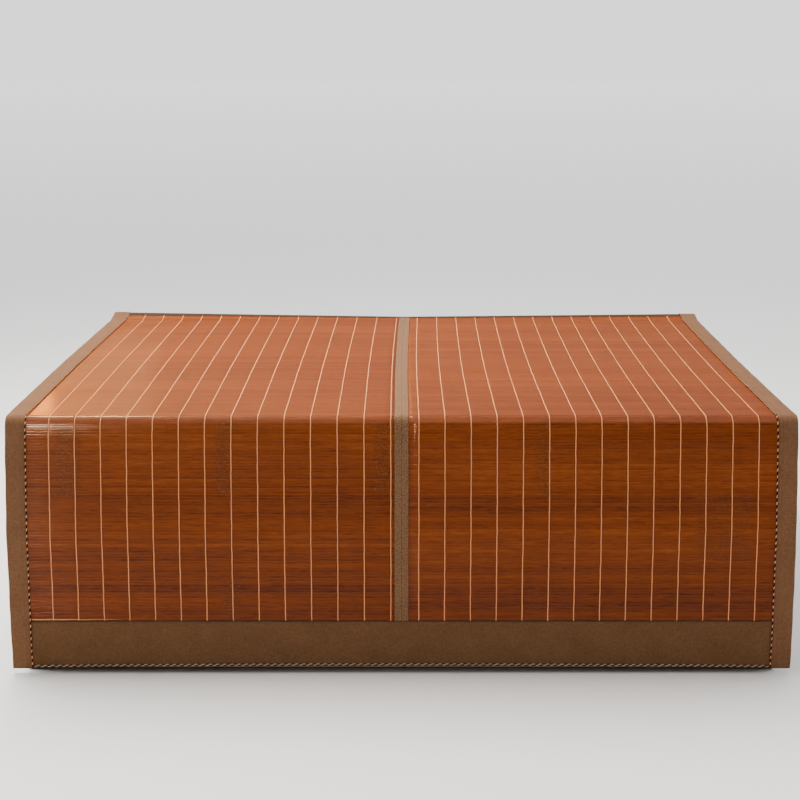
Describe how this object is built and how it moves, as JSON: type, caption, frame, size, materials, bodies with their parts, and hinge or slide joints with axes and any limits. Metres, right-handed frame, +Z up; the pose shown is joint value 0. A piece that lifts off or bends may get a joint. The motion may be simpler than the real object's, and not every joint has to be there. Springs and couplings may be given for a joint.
{
  "type": "bamboo slat mat on a bed, hanging over its foot edge",
  "caption": "Folding bamboo slat sleeping mat with cloth bindings, laid on a plain mattress and base and bent down over the foot edge.",
  "frame": {"origin": "centre of the footprint, on the floor under the bed base", "axes": "+X along the slats, across the bed; +Y from the foot of the bed to its head; +Z up"},
  "size_m": [1.8108, 1.4222, 0.6145],
  "materials": {
    "bamboo": "varnished carbonised bamboo slats, satin to glossy",
    "band_cloth": "ribbed woven band, matt",
    "binding_cloth": "plain woven brown cloth, matt",
    "edging_tape": "narrow dark woven tape, matt",
    "trim_cord": "two-tone twisted thread, tan and near black",
    "mattress_cloth": "plain pale mattress ticking",
    "base_cloth": "plain woven upholstery on the base"
  },
  "bodies": {
    "root": {"bamboo_panel_left": "bamboo", "bamboo_panel_right": "bamboo", "centre_band": "band_cloth", "side_binding_left": "binding_cloth", "side_binding_right": "binding_cloth", "head_edging": "edging_tape", "foot_band": "binding_cloth", "trim_left": "trim_cord", "trim_right": "trim_cord", "hem_trim": "trim_cord", "mattress": "mattress_cloth", "bed_base": "base_cloth"}
  },
  "joints": []
}
